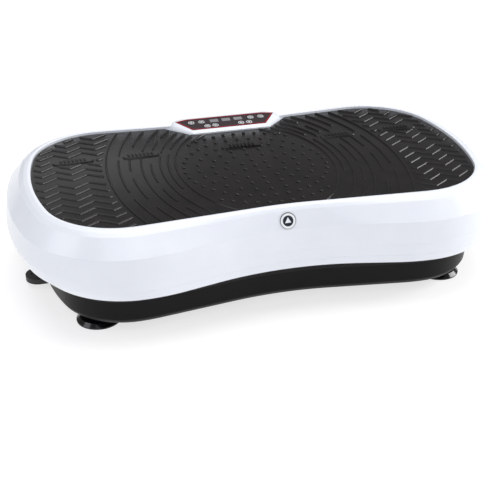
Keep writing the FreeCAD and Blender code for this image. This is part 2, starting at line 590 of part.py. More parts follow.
def write_panel():
    """The tilted control panel on the console."""
    inner = inset(PANEL_HEX, BEZEL_LINE)
    thick = FACE_THICK + BEZEL_PROUD
    bezel = prism(PANEL_HEX, "z", -FACE_THICK, thick).cut(prism(inner, "z", -FACE_THICK - 1, thick + 2))
    save("panel_bezel", on_panel(bezel))
    face = prism(inner, "z", -FACE_THICK, FACE_THICK + FACE_PROUD)
    holes = [rod_z(u, v, BUTTON_R + BUTTON_GAP, -5, 5) for u, v in BUTTONS.values()]
    holes += [box(u - WINDOW_W / 2, u + WINDOW_W / 2, WINDOW_V0, WINDOW_V1, -5, 5) for u in WINDOW_U]
    save("panel_face", on_panel(cut(face, holes)))
    windows = [on_panel(box(u - WINDOW_W / 2, u + WINDOW_W / 2, WINDOW_V0, WINDOW_V1, -1.8, FACE_PROUD + 0.1))
               for u in WINDOW_U]
    save("display_windows", windows)
    board = [box(-54, 54, 7, 30.5, -10, -8.4)]
    board += [rod_z(u, v, 2, -8.4, -FACE_THICK) for u in (-49, 49) for v in (10, 28)]
    save("display_board", on_panel(fuse(board)))
    for name, (u, v) in BUTTONS.items():
        key = fuse([rod_z(u, v, BUTTON_R, -1.4, 0.9), rod_z(u, v, 2.2, -7.4, -1.4)])
        save(name, on_panel(key))


def write_base():
    """The standing half: tray, frame, pivots, feet and power entry."""
    save("base_tray", base_tray())
    for name, side in (("front", -1), ("rear", 1)):
        save("base_rail_" + name, base_rail(side))
    half_y = BASE_RAIL_Y - BASE_RAIL_WIDTH / 2
    save("base_crossbars", [crossbar(side * BASE_CROSSBAR_X, 30.0, half_y, FLOOR_TOP, BASE_RAIL_TOP)
                            for side in (-1, 1)])
    save("pivot_pedestals", [pivot_pedestal(-1), pivot_pedestal(1)])
    for name, side in (("left", -1), ("right", 1)):
        save("band_eyelet_" + name, band_eyelet(side))
    save("pivot_pins", [rod_y(0, PIVOT_Z, PIN_R, side * 93.0, side * 136.0) for side in (-1, 1)])
    posts = four(BASE_CROSSBAR_X, DECK_RAIL_Y)
    save("bump_posts", [rod_z(x, y, 9, BASE_RAIL_TOP, 112) for x, y in posts])
    save("bump_pads", [rod_z(x, y, 9, 112, 120) for x, y in posts])
    bolts = [frame_bolt(x, y, FLOOR_TOP + 8) for x, y in FLOOR_BOLTS]
    bolts += [frame_bolt(x, y, BASE_RAIL_TOP + 8) for x, y in PEDESTAL_BOLTS]
    save("frame_bolts", bolts)
    feet = four(FOOT_X, FOOT_Y)
    for name, place in zip(("front_left", "rear_left", "front_right", "rear_right"), feet):
        save("suction_foot_" + name, suction_foot(*place))
    save("foot_bolts", [foot_bolt(x, y) for x, y in feet])
    save("eyelet_screws", [eyelet_screw(x, y) for x, y in EYELET_SCREWS])
    save("inlet_plate", inlet_plate())
    save("power_inlet", power_inlet())
    save("power_switch", power_switch())
    save("fuse_cap", fuse_cap())
    save("control_board", control_board())
    save("power_supply", power_supply())


def write_drive():
    """Motor, belt, crank and connecting rod."""
    save("motor_cradle", motor_cradle())
    save("motor_can", motor_can())
    save("motor_end_bells", [motor_end_bell(MOTOR_Y0 - BELL), motor_end_bell(MOTOR_Y1)])
    save("motor_shaft", rod_y(MOTOR_X, MOTOR_Z, MOTOR_SHAFT_R, MOTOR_Y0 - BELL - 2, PULLEY_Y1 + 2))
    armature = rod_y(MOTOR_X, MOTOR_Z, 32, MOTOR_Y0 + 8, MOTOR_Y1 - 8)
    save("motor_armature", armature.cut(rod_y(MOTOR_X, MOTOR_Z, MOTOR_SHAFT_R + SLIP, -70, 30)))
    save("motor_pulley", pulley(MOTOR_X, MOTOR_Z, MOTOR_PULLEY_R, MOTOR_SHAFT_R))
    save("drive_belt", drive_belt())
    save("crank_blocks", [crank_block(-1), crank_block(1)])
    save("crank_bearings", [crank_bearing(-1), crank_bearing(1)])
    save("crank_shaft", rod_y(CRANK_X, CRANK_Z, CRANK_SHAFT_R, -BLOCK_Y1 - 4, PULLEY_Y1 + 2))
    eccentric = rod_y(CRANK_X + CRANK_THROW, CRANK_Z, ECCENTRIC_R, -ROD_HALF_WIDTH - 1, ROD_HALF_WIDTH + 1)
    save("crank_eccentric", eccentric.cut(rod_y(CRANK_X, CRANK_Z, CRANK_SHAFT_R + SLIP, -20, 20)))
    save("crank_pulley", pulley(CRANK_X, CRANK_Z, CRANK_PULLEY_R, CRANK_SHAFT_R))
    rod = fuse([rod_y(CRANK_X, CRANK_Z, ROD_RING_OUT, -ROD_HALF_WIDTH, ROD_HALF_WIDTH),
                rod_y(CRANK_X, ROD_PIN_Z, 12, -ROD_HALF_WIDTH, ROD_HALF_WIDTH),
                box(CRANK_X - 8, CRANK_X + 8, -ROD_HALF_WIDTH, ROD_HALF_WIDTH, CRANK_Z + 30, ROD_PIN_Z)])
    rod = cut(rod, [rod_y(CRANK_X, CRANK_Z, ROD_RING_IN, -20, 20),
                    rod_y(CRANK_X, ROD_PIN_Z, ROD_PIN_R + RUN, -20, 20)])
    save("connecting_rod", rod)


os.makedirs(OUT, exist_ok=True)
write_deck()
write_panel()
write_base()
write_drive()
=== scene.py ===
"""Looks of a rocking vibration plate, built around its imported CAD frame."""

import json
import logging
import math
from dataclasses import dataclass, field
from enum import Enum

import bmesh
import bpy
from mathutils import Matrix, Vector


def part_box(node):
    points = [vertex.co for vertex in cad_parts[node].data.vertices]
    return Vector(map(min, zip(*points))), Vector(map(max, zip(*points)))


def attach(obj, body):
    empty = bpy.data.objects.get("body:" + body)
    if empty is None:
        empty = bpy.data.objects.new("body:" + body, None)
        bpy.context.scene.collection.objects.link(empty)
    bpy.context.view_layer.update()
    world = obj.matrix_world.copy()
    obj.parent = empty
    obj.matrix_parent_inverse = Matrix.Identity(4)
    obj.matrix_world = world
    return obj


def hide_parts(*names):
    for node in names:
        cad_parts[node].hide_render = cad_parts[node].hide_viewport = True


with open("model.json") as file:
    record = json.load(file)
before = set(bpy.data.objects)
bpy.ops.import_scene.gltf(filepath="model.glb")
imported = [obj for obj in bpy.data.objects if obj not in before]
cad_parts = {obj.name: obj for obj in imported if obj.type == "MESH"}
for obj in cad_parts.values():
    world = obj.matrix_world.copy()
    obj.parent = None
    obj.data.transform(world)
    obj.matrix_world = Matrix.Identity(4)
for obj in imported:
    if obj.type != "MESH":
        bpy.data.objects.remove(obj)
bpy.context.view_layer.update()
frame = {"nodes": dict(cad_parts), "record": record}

MM = 0.001
LOG = logging.getLogger("vibration_plate")
Point = tuple[float, float]


# ---------------------------------------------------------------- small tools
def linear(hex_colour: str) -> tuple[float, float, float, float]:
    """Turn an sRGB hex colour into linear light.

    Args:
        hex_colour: Six hex digits, such as "f2f4f8".

    Returns:
        Red, green, blue and an alpha of one.
    """
    channels = [int(hex_colour[i:i + 2], 16) / 255 for i in (0, 2, 4)]
    light = [c / 12.92 if c <= 0.04045 else ((c + 0.055) / 1.055) ** 2.4 for c in channels]
    return light[0], light[1], light[2], 1.0


def add_node(tree: bpy.types.NodeTree, kind: str, values: dict | None = None,
             links: dict | None = None, **settings: object) -> bpy.types.Node:
    """Add one shader node with its settings, values and incoming links.

    Args:
        tree: Node tree that gets the node.
        kind: Blender's name of the node type.
        values: Input name or index to its value.
        links: Input name or index to the socket that feeds it.
        settings: Properties of the node itself.

    Returns:
        The new node.
    """
    node = tree.nodes.new(kind)
    for name, value in settings.items():
        setattr(node, name, value)
    for key, value in (values or {}).items():
        node.inputs[key].default_value = value
    for key, socket in (links or {}).items():
        tree.links.new(socket, node.inputs[key])
    return node


def deselect() -> None:
    """Leave edit mode with nothing selected."""
    if bpy.context.object and bpy.context.object.mode != "OBJECT":
        bpy.ops.object.mode_set(mode="OBJECT")
    bpy.ops.object.select_all(action="DESELECT")


def take(name: str) -> bpy.types.Object:
    """Name the object that an operator has just added, and return it.

    Args:
        name: Its new name.

    Returns:
        The object.
    """
    piece = bpy.context.object
    piece.name = name
    piece.data.name = name
    return piece


def select_only(piece: bpy.types.Object) -> None:
    """Select one object and make it active."""
    deselect()
    piece.select_set(True)
    bpy.context.view_layer.objects.active = piece


def apply_place(piece: bpy.types.Object) -> None:
    """Move an object's place, turn and size into its mesh."""
    select_only(piece)
    bpy.ops.object.transform_apply(location=True, rotation=True, scale=True)


def apply_modifier(piece: bpy.types.Object, kind: str, **settings: object) -> None:
    """Add a modifier with its settings and apply it at once.

    Args:
        piece: The mesh.
        kind: Blender's name of the modifier type.
        settings: Properties of the modifier.
    """
    select_only(piece)
    modifier = piece.modifiers.new(kind.lower(), kind)
    for name, value in settings.items():
        setattr(modifier, name, value)
    bpy.ops.object.modifier_apply(modifier=modifier.name)


def smooth(piece: bpy.types.Object, degrees: float = 32.0) -> None:
    """Shade a piece smooth, except over edges sharper than an angle."""
    select_only(piece)
    bpy.ops.object.shade_smooth_by_angle(angle=math.radians(degrees))


def outward(piece: bpy.types.Object) -> None:
    """Merge doubles and turn every face outwards.

    Args:
        piece: The mesh.
    """
    select_only(piece)
    bpy.ops.object.mode_set(mode="EDIT")
    bpy.ops.mesh.select_all(action="SELECT")
    bpy.ops.mesh.remove_doubles(threshold=1e-6)
    bpy.ops.mesh.normals_make_consistent(inside=False)
    bpy.ops.object.mode_set(mode="OBJECT")


def join(pieces: list[bpy.types.Object], name: str) -> bpy.types.Object:
    """Join several meshes into one object.

    Args:
        pieces: The meshes, the first of which is kept.
        name: Name of the whole.

    Returns:
        The joined object.
    """
    deselect()
    for piece in pieces:
        piece.select_set(True)
    bpy.context.view_layer.objects.active = pieces[0]
    if len(pieces) > 1:
        bpy.ops.object.join()
    return take(name)


def ring_loft(name: str, rings: list[list[Vector]]) -> bpy.types.Object:
    """Extrude a closed ring through a row of rings and cap both ends.

    Args:
        name: Name of the new piece.
        rings: Rings with the same number of points, in order.

    Returns:
        The closed mesh.
    """
    deselect()
    bpy.ops.mesh.primitive_circle_add(vertices=len(rings[0]), fill_type="NGON")
    piece = take(name)
    for vertex, point in zip(piece.data.vertices, rings[0]):
        vertex.co = point
    for ring in rings[1:]:
        bpy.ops.object.mode_set(mode="EDIT")
        mesh = bmesh.from_edit_mesh(piece.data)
        mesh.verts.ensure_lookup_table()
        first = len(mesh.verts)
        if first == len(ring):
            bpy.ops.mesh.select_all(action="SELECT")
        bpy.ops.mesh.extrude_region()
        mesh = bmesh.from_edit_mesh(piece.data)
        for vertex, point in zip([v for v in mesh.verts if v.select], ring):
            vertex.co = point
        bmesh.update_edit_mesh(piece.data)
        bpy.ops.object.mode_set(mode="OBJECT")
    outward(piece)
    return piece


def flat_ring(name: str, outer: float, inner: float, thickness: float) -> bpy.types.Object:
    """Make a thin flat ring at the origin, facing up.

    Args:
        name: Name of the new piece.
        outer: Outer radius.
        inner: Inner radius.
        thickness: How far it is extruded up.

    Returns:
        The ring.
    """
    deselect()
    bpy.ops.mesh.primitive_circle_add(vertices=40, radius=outer, fill_type="NGON")
    ring = take(name)
    bpy.ops.object.mode_set(mode="EDIT")
    bpy.ops.mesh.inset(thickness=outer - inner)
    bpy.ops.mesh.delete(type="FACE")
    bpy.ops.mesh.select_all(action="SELECT")
    bpy.ops.mesh.extrude_region_move(TRANSFORM_OT_translate={"value": (0, 0, thickness)})
    bpy.ops.object.mode_set(mode="OBJECT")
    return ring


def fillet(corners: list[Point], radii: list[float], steps: int = 6) -> list[Point]:
    """Round the corners of a closed polygon.

    Args:
        corners: The polygon's corners in order.
        radii: One radius for each corner; zero keeps it sharp.
        steps: Number of chords in each rounded corner.

    Returns:
        The rounded polygon's points.
    """
    path: list[Point] = []
    count = len(corners)
    for i, radius in enumerate(radii):
        here = Vector(corners[i])
        before = (Vector(corners[i - 1]) - here).normalized()
        after = (Vector(corners[(i + 1) % count]) - here).normalized()
        half = math.acos(max(-1.0, min(1.0, before.dot(after)))) / 2
        if radius <= 0 or half > math.radians(89.5):
            path.append(tuple(here))
            continue
        reach = radius / math.tan(half)
        centre = here + (before + after).normalized() * (radius / math.sin(half))
        start = here + before * reach - centre
        finish = here + after * reach - centre
        swing = math.atan2(start.x * finish.y - start.y * finish.x, start.dot(finish))
        for step in range(steps + 1):
            turned = Matrix.Rotation(swing * step / steps, 2) @ start
            path.append(tuple(centre + turned))
    return path


def copies(name: str, pattern: bpy.types.Object, places: list[tuple[float, float, float]]) -> bpy.types.Object:
    """Copy one piece to many places, each with its own mesh, and join the copies.

    Args:
        name: Name of the joined piece.
        pattern: The piece to copy, made at the origin; it is removed.
        places: Where each copy's origin goes.

    Returns:
        The joined copies.
    """
    pieces = []
    for place in places:
        piece = pattern.copy()
        piece.data = pattern.data.copy()
        piece.location = place
        bpy.context.scene.collection.objects.link(piece)
        pieces.append(piece)
    bpy.data.objects.remove(pattern)
    whole = join(pieces, name)
    apply_place(whole)
    return whole


def flat_strip(path: list[Point], width: float, height: float) -> bpy.types.Object:
    """Lay a one-cell-wide grid along a flat path.

    Args:
        path: Points of its centre line.
        width: Its width, kept through the bends.
        height: The height it lies at.

    Returns:
        The strip as an open sheet.
    """
    deselect()
    last = len(path) - 1
    bpy.ops.mesh.primitive_grid_add(x_subdivisions=last, y_subdivisions=1)
    strip = take("strip")
    for i, (x, y) in enumerate(path):
        here = Vector((x, y))
        back, ahead = Vector(path[max(i - 1, 0)]), Vector(path[min(i + 1, last)])
        arms = [arm.normalized() for arm in (here - back, ahead - here) if arm.length > 0]
        along = sum(arms, Vector((0, 0))).normalized()
        side = Vector((-along.y, along.x)) * (width / 2 / max(0.5, along.dot(arms[0])))
        strip.data.vertices[i].co = (x - side.x, y - side.y, height)
        strip.data.vertices[i + last + 1].co = (x + side.x, y + side.y, height)
    return strip


def raise_ribs(name: str, strips: list[bpy.types.Object], root: float, slope: float, rise: float,
               rounding: float) -> bpy.types.Object:
    """Turn flat strips into ribs with sloping sides and softened crests.

    Args:
        name: Name of the joined ribs.
        strips: The flat strips, each as wide as its rib's foot.
        root: Height of the upright part that is sunk in the sheet.
        slope: Width of each sloping side.
        rise: Height of the sloping part.
        rounding: How far the crest's edges are rounded.

    Returns:
        All the ribs in one piece.
    """
    ribs = join(strips, name)
    select_only(ribs)
    bpy.ops.object.mode_set(mode="EDIT")
    bpy.ops.mesh.select_all(action="SELECT")
    bpy.ops.mesh.extrude_region_move(TRANSFORM_OT_translate={"value": (0, 0, root)})
    bpy.ops.mesh.inset(thickness=slope, depth=rise, use_even_offset=True)
    bpy.ops.mesh.region_to_loop()
    bpy.ops.mesh.bevel(offset=rounding, segments=2, affect="EDGES", clamp_overlap=True)
    bpy.ops.object.mode_set(mode="OBJECT")
    outward(ribs)
    smooth(ribs, 26.0)
    return ribs


# ---------------------------------------------------------------- finishes
GRAIN_STRETCH = (1.0, 0.06, 1.0)        # brushed grain runs long along Y
MOTTLE_RAMP = (0.3, 0.7)                # noise values where the two colours are reached
ROUGHNESS_SPREAD = 0.12                 # share by which roughness wanders
RELIEF = 0.2 * MM


class Grain(Enum):
    """How a surface's fine relief was made."""

    SPARK = "spark eroded mould"
    POLISHED = "polished mould"
    CAST = "sand cast"
    BRUSHED = "turned or brushed"
    COATED = "powder coated"


@dataclass(frozen=True)
class Finish:
    """One material, from its real colour, gloss and surface grain."""

    name: str
    colour: str
    shade: str
    roughness: float
    grain: Grain
    grain_mm: float
    depth: float = 0.15
    metallic: float = 0.0
    coat: float = 0.0
    ior: float = 1.5
    mottle_mm: float = 40.0
    sheen: float = 0.0
    specular: float = 0.5
    glow: float = 0.0

    def build(self) -> bpy.types.Material:
        """Make the Blender material.

        Returns:
            A node-based material on Object coordinates.
        """
        material = bpy.data.materials.new(self.name)
        material.use_nodes = True
        tree = material.node_tree
        shader = tree.nodes["Principled BSDF"]
        place = add_node(tree, "ShaderNodeTexCoord").outputs["Object"]
        if self.grain is Grain.BRUSHED:
            place = add_node(tree, "ShaderNodeMapping", {"Scale": GRAIN_STRETCH}, {"Vector": place}).outputs[0]
        mottle = add_node(tree, "ShaderNodeTexNoise", {"Scale": 1 / (self.mottle_mm * MM), "Detail": 4.0},
                          {"Vector": place})
        colour = add_node(tree, "ShaderNodeValToRGB", links={"Fac": mottle.outputs["Fac"]})
        for element, position, shade in zip(colour.color_ramp.elements, MOTTLE_RAMP, (self.colour, self.shade)):
            element.position, element.color = position, linear(shade)
        tree.links.new(colour.outputs["Color"], shader.inputs["Base Color"])
        fine = add_node(tree, "ShaderNodeTexNoise", {"Scale": 1 / (self.grain_mm * MM), "Detail": 3.0,
                                                     "Roughness": 0.6}, {"Vector": place})
        spread = {"To Min": self.roughness * (1 - ROUGHNESS_SPREAD),
                  "To Max": min(1.0, self.roughness * (1 + ROUGHNESS_SPREAD))}
        rough = add_node(tree, "ShaderNodeMapRange", spread, {"Value": fine.outputs["Fac"]})
        tree.links.new(rough.outputs[0], shader.inputs["Roughness"])
        bump = add_node(tree, "ShaderNodeBump", {"Strength": self.depth, "Distance": RELIEF},
                        {"Height": fine.outputs["Fac"]})
        tree.links.new(bump.outputs[0], shader.inputs["Normal"])
        shader.inputs["Metallic"].default_value = self.metallic
        shader.inputs["Coat Weight"].default_value = self.coat
        shader.inputs["Sheen Weight"].default_value = self.sheen
        shader.inputs["Specular IOR Level"].default_value = self.specular
        shader.inputs["Emission Color"].default_value = linear("ffffff")
        shader.inputs["Emission Strength"].default_value = self.glow
        if self.metallic == 0.0:
            shader.inputs["IOR"].default_value = self.ior
        return material


FINISHES = {
    # White ABS from a polished mould: bright, slightly cool, with a soft gloss.
    "shell_white": Finish("white_gloss_abs", "f0f3fa", "edf0f8", 0.25, Grain.POLISHED, 0.9, 0.03, coat=0.15),
    # Charcoal rubber from a spark-eroded mould: dull, with a fine pebble.
    "mat_rubber": Finish("charcoal_moulded_rubber", "1f1c1d", "181617", 0.27, Grain.SPARK, 0.9, 0.2,
                         mottle_mm=25.0, specular=0.32),
    # Black ABS of the tray: satin, with a spark texture that kills glare.
    "base_black": Finish("black_satin_abs", "141113", "100e0f", 0.4, Grain.SPARK, 0.7, 0.2, specular=0.12),
    # Soft black rubber from a polished mould: wet-looking, with small bright glints.
    "foot_rubber": Finish("black_soft_rubber", "101011", "0c0c0d", 0.16, Grain.POLISHED, 1.2, 0.05, coat=0.2),
    # Glass-filled nylon: dull black with a fine sparkle of fibre.
    "eyelet_black": Finish("black_glass_filled_nylon", "1b1b1d", "161617", 0.45, Grain.SPARK, 0.6, 0.25),
    # Birch plywood: warm tan with long darker grain.
    "plywood": Finish("birch_plywood", "c9a877", "b8935f", 0.6, Grain.BRUSHED, 0.8, 0.3, mottle_mm=8.0),
    # Powder coat on tube: even black with a slight orange peel.
    "steel_black": Finish("black_powder_coated_steel", "202022", "1a1a1c", 0.5, Grain.COATED, 0.5, 0.3),
    # Ground shafts and pins: bright, with fine turning lines.
    "steel_bright": Finish("ground_steel", "c8c8ca", "b9b9bc", 0.25, Grain.BRUSHED, 0.3, 0.1, metallic=1.0),
    # Zinc plate on fasteners: cool grey shine, a little clouded.
    "steel_zinc": Finish("zinc_plated_steel", "bfc2c4", "aeb2b6", 0.32, Grain.BRUSHED, 0.4, 0.12, metallic=1.0),
    # Cast iron blocks: dull mid grey with a coarse skin.
    "cast_grey": Finish("grey_cast_iron", "6a6a6c", "58585a", 0.62, Grain.CAST, 1.2, 0.5, metallic=0.6),
    # Sintered bronze bushes: brown-gold, matt and porous.
    "bronze": Finish("sintered_bronze", "b07d45", "9a6a38", 0.4, Grain.CAST, 0.3, 0.2, metallic=1.0),
    # Turned aluminium: pale silver with ring-shaped tool marks.
    "pulley_aluminium": Finish("turned_aluminium", "cfd1d4", "c0c3c6", 0.3, Grain.BRUSHED, 0.3, 0.12, metallic=1.0),
    # Enamel on the drawn motor can: smooth deep black.
    "motor_black": Finish("black_enamelled_steel", "1d1d1f", "161618", 0.3, Grain.COATED, 0.8, 0.1, coat=0.2),
    # Varnished winding: orange-brown with fine wire lines.
    "armature_copper": Finish("varnished_copper_winding", "a0552c", "7f4022", 0.35, Grain.BRUSHED, 0.5, 0.4,
                              metallic=0.8),
    # Belt rubber: flat black, hardly any shine.
    "belt_rubber": Finish("black_belt_rubber", "18181a", "131314", 0.7, Grain.SPARK, 0.6, 0.3),
    # Printed film on the panel: dark warm grey, softly matt.
    "panel_grey": Finish("dark_grey_printed_film", "3c3235", "362d30", 0.42, Grain.POLISHED, 0.5, 0.05,
                         specular=0.25),
    # Lacquered edge of the panel: deep red with a crisp shine.
    "bezel_red": Finish("deep_red_lacquer", "920f20", "800c1a", 0.25, Grain.POLISHED, 0.8, 0.03, coat=0.4),
    # Smoked display lenses: pale grey and glassy.
    "window_grey": Finish("pale_smoked_lens", "929093", "868488", 0.14, Grain.POLISHED, 1.5, 0.02, coat=0.4),
    # Silicone keys: dark grey and dry.
    "button_grey": Finish("dark_grey_silicone_key", "3e3c3d", "393738", 0.45, Grain.SPARK, 0.5, 0.1),
    # Anodised disc: blue-black with a brushed shine.
    "badge_metal": Finish("dark_blue_anodised_disc", "1c2433", "18202e", 0.3, Grain.BRUSHED, 0.3, 0.1, coat=0.3),
    # Solder mask on the circuit boards: smooth mid green.
    "board_green": Finish("green_solder_mask", "1f5a34", "184a2a", 0.35, Grain.POLISHED, 1.0, 0.1),
    # Flame-proof nylon of the mains parts: plain satin black.
    "inlet_black": Finish("black_flame_proof_nylon", "161617", "121213", 0.4, Grain.SPARK, 0.5, 0.15),
    # Rocker of the mains switch: clear glossy red.
    "switch_red": Finish("red_rocker_plastic", "b3161c", "a01218", 0.25, Grain.POLISHED, 0.8, 0.03, coat=0.2),
    # Printed ink: flat near-white.
    "icon_white": Finish("pale_printed_ink", "f2f4f6", "eaecef", 0.5, Grain.POLISHED, 0.4, 0.05),
}
MATERIALS = {slot: finish.build() for slot, finish in FINISHES.items()}


def dress(piece: bpy.types.Object, finish: str, body: str,
          replaces: tuple[str, ...] = ()) -> bpy.types.Object:
    """Give a finished piece its material, its body and what it stands for.

    Args:
        piece: A mesh in its final place.
        finish: Key of the material.
        body: CAD body that it moves with.
        replaces: CAD nodes that it stands for.

    Returns:
        The same piece.
    """
    piece.data.materials.clear()
    piece.data.materials.append(MATERIALS[finish])
    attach(piece, body)
    if replaces:
        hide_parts(*replaces)
    LOG.info("%s rides on %s, %d faces", piece.name, body, len(piece.data.polygons))
    return piece


# ---------------------------------------------------------------- the waisted outline
@dataclass(frozen=True)
class WaistedOutline:
    """The standing mat's plan shape, of tangent arcs, the same in all four quarters."""

    half_length: float = 330 * MM
    half_width: float = 173.5 * MM
    half_waist: float = 160.5 * MM
    waist_radius: float = 527 * MM
    lobe_radius: float = 231 * MM
    corner_radius: float = 106 * MM
    end_radius: float = 390 * MM
    # Loss of waist radius for each unit that the lobes gain over the waist
    sharpen: float = 3.0
    # Chords of the end, corner, lobe, straight and waist of one quarter
    chords: tuple[int, int, int, int, int] = (10, 16, 12, 3, 14)

    def quarter(self, lobes: float, waists: float) -> list[tuple[Vector, Vector]]:
        """Points of one quarter from the end to the waist, each with its outward direction.

        Args:
            lobes: How much wider it is at the lobes.
            waists: How much wider it is at the waist.

        Returns:
            Pairs of a point and its direction.
        """
        half_width = self.half_width + lobes
        bend = self.waist_radius - self.sharpen * (lobes - waists)
        end = Vector((self.half_length - self.end_radius, 0))
        corner_y = half_width - self.corner_radius
        lobe_x = end.x + math.sqrt((self.end_radius - self.corner_radius) ** 2 - corner_y ** 2)
        corner = Vector((lobe_x, corner_y))
        lobe = Vector((lobe_x, half_width - self.lobe_radius))
        waist = Vector((0, self.half_waist + waists + bend))
        drop = lobe - waist
        heading = math.atan2(drop.y, drop.x) + math.asin((bend + self.lobe_radius) / drop.length)
        phi = math.atan2(corner.y - end.y, corner.x - end.x)
        up = math.pi / 2
        points: list[tuple[Vector, Vector]] = []

        def sweep(centre: Vector, radius: float, first: float, last: float, count: int) -> None:
            """Add the points of one arc, without its last."""
            for step in range(count):
                angle = first + (last - first) * step / count
                way = Vector((math.cos(angle), math.sin(angle)))
                points.append((centre + way * radius, way if radius > 0 else -way))

        sweep(end, self.end_radius, 0, phi, self.chords[0])
        sweep(corner, self.corner_radius, phi, up, self.chords[1])
        sweep(lobe, self.lobe_radius, up, up + heading, self.chords[2])
        out = Vector((-math.sin(heading), math.cos(heading)))
        start = lobe + out * self.lobe_radius
        finish = waist - out * bend
        for step in range(self.chords[3]):
            points.append((start.lerp(finish, step / self.chords[3]), out))
        for step in range(self.chords[4] + 1):
            angle = heading * (1 - step / self.chords[4])
            way = Vector((-math.sin(angle), math.cos(angle)))
            points.append((waist - way * bend, way))
        return points

    def ring(self, offset: float, lobes: float = 0.0, waists: float = 0.0) -> list[Point]:
        """The whole outline, anticlockwise from the right end.

        Args:
            offset: How far it is moved outwards.
            lobes: How much wider still it is at the lobes.
            waists: How much wider still it is at the waist.

        Returns:
            The outline's points.
        """
        quarter = [point + way * offset for point, way in self.quarter(lobes, waists)]
        right = [(p.x, p.y) for p in quarter]
        left = [(-x, y) for x, y in reversed(right[:-1])]
        upper = right + left
        lower = [(x, -y) for x, y in reversed(upper[1:-1])]
        return upper + lower


@dataclass(frozen=True)
class Wall:
    """A moulded wall round the outline: its sections and its profile, in millimetres."""

    # Height, and how much wider the section is at the lobes and at the waist
    swell: tuple[tuple[float, float, float], ...]
    # Corners of the closed profile (distance outside the outline, height), each with its radius
    corners: tuple[tuple[float, float, float], ...]
    # Distance outside the outline over which the swell comes in; none if zero
    blend: float = 0.0

    def rings(self) -> list[list[Vector]]:
        """The rings of the wall, in order along its rounded profile.

        Returns:
            One ring of points for each point of the profile.
        """
        path = fillet([(d, z) for d, z, _ in self.corners], [radius for *_, radius in self.corners], 5)
        rings = []
        for offset, height in path:
            lobes, waists = self.widen(height)
            share = max(0.0, min(1.0, offset / self.blend)) if self.blend else 1.0
            flat = OUTLINE.ring(offset * MM, lobes * share * MM, waists * share * MM)
            rings.append([Vector((x, y, height * MM)) for x, y in flat])
        return rings

    def widen(self, height: float) -> Point:
        """How much wider the wall is at a height.

        Args:
            height: Height in millimetres.

        Returns:
            The gain at the lobes and at the waist.
        """
        if height <= self.swell[0][0]:
            return self.swell[0][1:]
        for (z0, lobe0, waist0), (z1, lobe1, waist1) in zip(self.swell, self.swell[1:]):
            if height <= z1:
                share = (height - z0) / (z1 - z0)
                return lobe0 + (lobe1 - lobe0) * share, waist0 + (waist1 - waist0) * share
        return self.swell[-1][1:]


def inside(point: Point, polygon: list[Point]) -> bool:
    """Whether a point lies in a closed polygon.

    Args:
        point: The point.
        polygon: Corners in order.

    Returns:
        True if it is inside.
    """
    x, y = point
    hit = False
    for i, (bx, by) in enumerate(polygon):
        ax, ay = polygon[i - 1]
        if (ay > y) != (by > y) and x < (bx - ax) * (y - ay) / (by - ay) + ax:
            hit = not hit
    return hit


OUTLINE = WaistedOutline()


